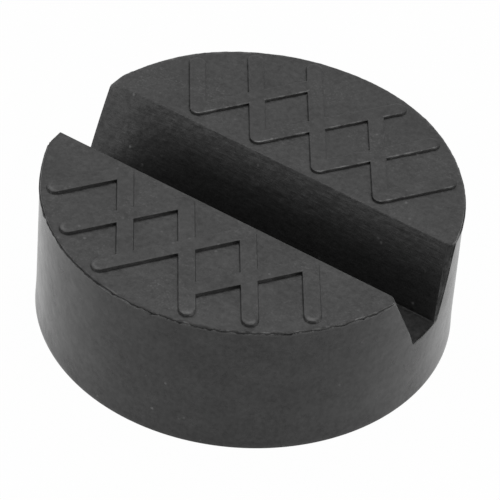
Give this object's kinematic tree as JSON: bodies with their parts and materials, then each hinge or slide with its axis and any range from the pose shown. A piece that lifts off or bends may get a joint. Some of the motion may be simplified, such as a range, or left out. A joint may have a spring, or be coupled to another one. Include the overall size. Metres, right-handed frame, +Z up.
{
  "type": "slotted rubber jack pad",
  "caption": "Round moulded rubber pad with a tapered slot across its ribbed top face, to sit between a jack and the sill seam of a car.",
  "frame": {"origin": "middle of the flat underside, on the surface that the pad stands on", "axes": "+Z up out of the ribbed face, X along the slot, Y across it"},
  "size_m": [0.065, 0.0654, 0.0246],
  "materials": {
    "rubber": "matt moulded black rubber"
  },
  "bodies": {
    "root": {"jack_pad": "rubber"}
  },
  "joints": []
}
